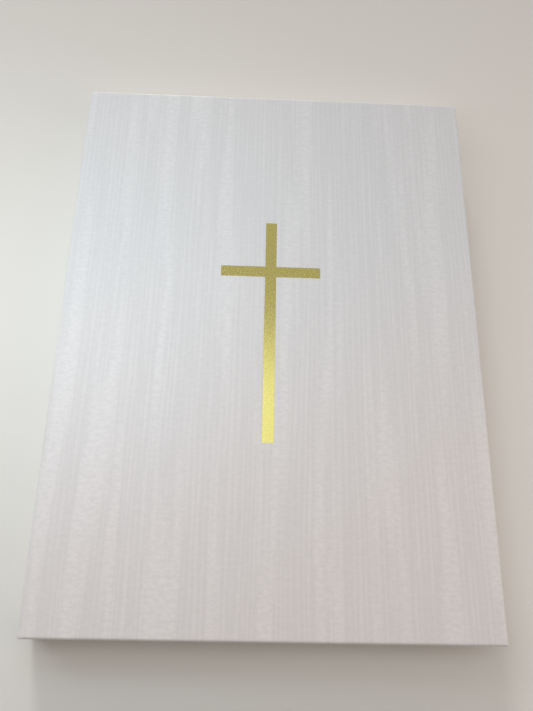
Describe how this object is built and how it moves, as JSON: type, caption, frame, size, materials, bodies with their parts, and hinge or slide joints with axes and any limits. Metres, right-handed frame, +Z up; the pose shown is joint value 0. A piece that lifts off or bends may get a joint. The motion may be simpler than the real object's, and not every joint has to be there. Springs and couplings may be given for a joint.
{
  "type": "prayer book",
  "caption": "Large case-bound prayer book in white watered silk with a gold foil cross, hinged covers, turning leaves and a sewn block of sections",
  "frame": {"origin": "middle of the underside of the closed book, on the outer face of the back cover", "axes": "+X from the spine to the fore-edge, +Y from tail to head, +Z up through the front cover"},
  "size_m": [0.23, 0.311, 0.022],
  "materials": {
    "watered_silk": "satin",
    "gold_foil": "satin",
    "greyboard": "matte",
    "endpaper": "matte",
    "text_paper": "matte",
    "kraft_paper": "matte",
    "gauze": "matte",
    "linen_tape": "matte",
    "linen_thread": "matte",
    "woven_band": "satin"
  },
  "bodies": {
    "page_block": {"spine_card": "greyboard", "spine_cloth": "watered_silk", "spine_lining": "kraft_paper", "spine_gauze": "gauze", "sewing_tapes": "linen_tape", "sewing_thread": "linen_thread", "headband": "woven_band", "tailband": "woven_band", "section_01": "text_paper", "section_02": "text_paper", "section_03": "text_paper", "section_04": "text_paper", "section_05": "text_paper", "section_06": "text_paper", "section_07": "text_paper", "section_08": "text_paper", "section_09": "text_paper", "section_10": "text_paper", "section_11": "text_paper", "section_12": "text_paper"},
    "front_cover": {"front_board": "greyboard", "front_cover_cloth": "watered_silk", "front_hinge_cloth": "watered_silk", "gold_cross": "gold_foil", "front_pastedown": "endpaper"},
    "back_cover": {"back_board": "greyboard", "back_cover_cloth": "watered_silk", "back_hinge_cloth": "watered_silk", "back_pastedown": "endpaper"},
    "front_flyleaf": {"front_flyleaf": "endpaper"},
    "title_leaf": {"title_leaf": "text_paper"},
    "opening_leaf": {"opening_leaf": "text_paper"},
    "back_flyleaf": {"back_flyleaf": "endpaper"}
  },
  "joints": [
    {"name": "front_cover_hinge", "type": "hinge", "parent": "page_block", "child": "front_cover", "pos_m": [-0.1151, 0, 0.01843], "axis": [0, -1, 0], "range_deg": [0, 179]},
    {"name": "front_flyleaf_turn", "type": "hinge", "parent": "page_block", "child": "front_flyleaf", "pos_m": [-0.1151, 0, 0.01843], "axis": [0, -1, 0], "range_deg": [0, 179]},
    {"name": "title_leaf_turn", "type": "hinge", "parent": "page_block", "child": "title_leaf", "pos_m": [-0.1151, 0, 0.01843], "axis": [0, -1, 0], "range_deg": [0, 179]},
    {"name": "opening_leaf_turn", "type": "hinge", "parent": "page_block", "child": "opening_leaf", "pos_m": [-0.1151, 0, 0.01843], "axis": [0, -1, 0], "range_deg": [0, 179]},
    {"name": "back_cover_hinge", "type": "hinge", "parent": "page_block", "child": "back_cover", "pos_m": [-0.1151, 0, 0.00358], "axis": [0, 1, 0], "range_deg": [0, 179]},
    {"name": "back_flyleaf_turn", "type": "hinge", "parent": "page_block", "child": "back_flyleaf", "pos_m": [-0.1151, 0, 0.00358], "axis": [0, 1, 0], "range_deg": [0, 179]}
  ],
  "couplings": [
    {"joint": "front_flyleaf_turn", "follows": "front_cover_hinge", "ratio": 0.994},
    {"joint": "title_leaf_turn", "follows": "front_cover_hinge", "ratio": 0.985},
    {"joint": "opening_leaf_turn", "follows": "front_cover_hinge", "ratio": 0.972},
    {"joint": "back_flyleaf_turn", "follows": "back_cover_hinge", "ratio": 0.994}
  ]
}
